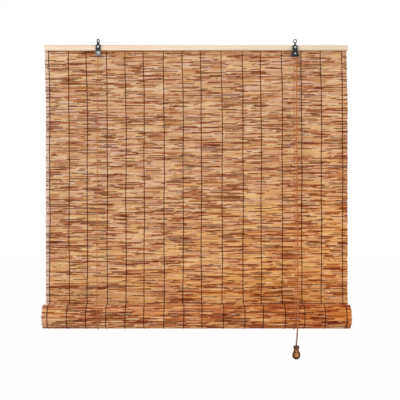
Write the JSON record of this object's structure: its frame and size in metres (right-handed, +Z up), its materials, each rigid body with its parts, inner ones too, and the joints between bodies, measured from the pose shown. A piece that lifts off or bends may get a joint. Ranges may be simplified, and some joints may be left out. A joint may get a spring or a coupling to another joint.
{
  "type": "reed roll-up blind",
  "caption": "Reed roll-up blind, half lowered: a thread-bound reed mat hung from wooden head battens, its lower end wound in a roll that pulley cords raise, with a turned wooden pull.",
  "frame": {"origin": "middle of the rear batten's back face, which goes against the wall", "axes": "+X to the right along the battens, +Y into the wall, +Z up; the front faces -Y"},
  "size_m": [1, 0.1037, 1.0419],
  "materials": {
    "batten_wood": "planed, unvarnished",
    "reed": "carbonised reed, satin",
    "reed_roll": "carbonised reed, satin",
    "warp_thread": "twisted yarn",
    "cord": "braided cord",
    "black_steel": "black lacquer",
    "bright_steel": "zinc plated",
    "tassel_wood": "turned and stained"
  },
  "bodies": {
    "head": {"front_batten": "batten_wood", "rear_batten": "batten_wood", "batten_nails": "bright_steel", "reed_mat": "reed", "warp_thread_01": "warp_thread", "warp_thread_02": "warp_thread", "warp_thread_03": "warp_thread", "warp_thread_04": "warp_thread", "warp_thread_05": "warp_thread", "warp_thread_06": "warp_thread", "warp_thread_07": "warp_thread", "warp_thread_08": "warp_thread", "warp_thread_09": "warp_thread", "warp_thread_10": "warp_thread", "warp_thread_11": "warp_thread", "warp_thread_12": "warp_thread", "warp_thread_13": "warp_thread", "warp_thread_14": "warp_thread", "warp_thread_15": "warp_thread", "warp_thread_16": "warp_thread", "left_case": "black_steel", "left_axle": "bright_steel", "left_screw": "bright_steel", "lock_case": "black_steel", "lock_axle": "bright_steel", "lock_screw": "bright_steel", "cam_pin": "black_steel", "left_cord_anchor": "bright_steel", "left_cord_tie": "cord", "right_cord_anchor": "bright_steel", "right_cord_tie": "cord", "left_cord_back": "cord", "left_cord_front": "cord", "left_cord_cross": "cord", "right_cord_back": "cord", "right_cord_front": "cord", "right_cord_turn": "cord", "left_tail_upper": "cord", "right_tail_upper": "cord"},
    "cord_cradle": {"left_cord_sling": "cord", "right_cord_sling": "cord", "left_tail_lower": "cord", "right_tail_lower": "cord"},
    "roll": {"mat_roll": "reed_roll", "roll_threads": "warp_thread", "bottom_rod": "batten_wood"},
    "pull": {"pull_tassel": "tassel_wood", "tassel_knot": "cord"},
    "left_sheave": {"left_sheave": "bright_steel"},
    "lock_sheave": {"lock_sheave": "bright_steel"},
    "lock_cam": {"lock_cam": "bright_steel"},
    "left_eye": {"left_eye": "black_steel"},
    "lock_eye": {"lock_eye": "black_steel"}
  },
  "joints": [
    {"name": "roll_lift", "type": "slide", "parent": "head", "child": "cord_cradle", "axis": [0, 0, 1], "range_m": [0, 0.79], "deforming": ["reed_mat", "warp_thread_01", "warp_thread_02", "warp_thread_03", "warp_thread_04", "warp_thread_05", "warp_thread_06", "warp_thread_07", "warp_thread_08", "warp_thread_09", "warp_thread_10", "warp_thread_11", "warp_thread_12", "warp_thread_13", "warp_thread_14", "warp_thread_15", "warp_thread_16", "left_cord_back", "right_cord_back", "left_cord_front", "right_cord_front", "left_tail_upper", "right_tail_upper", "left_cord_sling", "right_cord_sling"]},
    {"name": "roll_turn", "type": "hinge", "parent": "cord_cradle", "child": "roll", "pos_m": [0, -0.05, -0.881], "axis": [1, 0, 0], "continuous": true},
    {"name": "pull_drop", "type": "slide", "parent": "cord_cradle", "child": "pull", "axis": [0, 0, -1], "range_m": [0, 2.37], "deforming": ["left_tail_lower", "right_tail_lower"]},
    {"name": "left_sheave_turn", "type": "hinge", "parent": "head", "child": "left_sheave", "pos_m": [-0.32, -0.0272, -0.0182], "axis": [0, 1, 0], "continuous": true},
    {"name": "lock_sheave_turn", "type": "hinge", "parent": "head", "child": "lock_sheave", "pos_m": [0.3256, -0.028, -0.0208], "axis": [0, 1, 0], "continuous": true},
    {"name": "cam_release", "type": "hinge", "parent": "head", "child": "lock_cam", "pos_m": [0.3353, -0.028, -0.0252], "axis": [0, 1, 0], "range_deg": [0, 40]},
    {"name": "left_eye_swivel", "type": "hinge", "parent": "head", "child": "left_eye", "pos_m": [-0.322, -0.0272, 0.0214], "axis": [0, 0, 1], "continuous": true},
    {"name": "lock_eye_swivel", "type": "hinge", "parent": "head", "child": "lock_eye", "pos_m": [0.3256, -0.028, 0.0204], "axis": [0, 0, 1], "continuous": true}
  ],
  "couplings": [
    {"joint": "roll_turn", "follows": "roll_lift", "rad_per_m": -23.809},
    {"joint": "pull_drop", "follows": "roll_lift", "ratio": 3},
    {"joint": "left_sheave_turn", "follows": "roll_lift", "rad_per_m": 500},
    {"joint": "lock_sheave_turn", "follows": "roll_lift", "rad_per_m": 500}
  ]
}
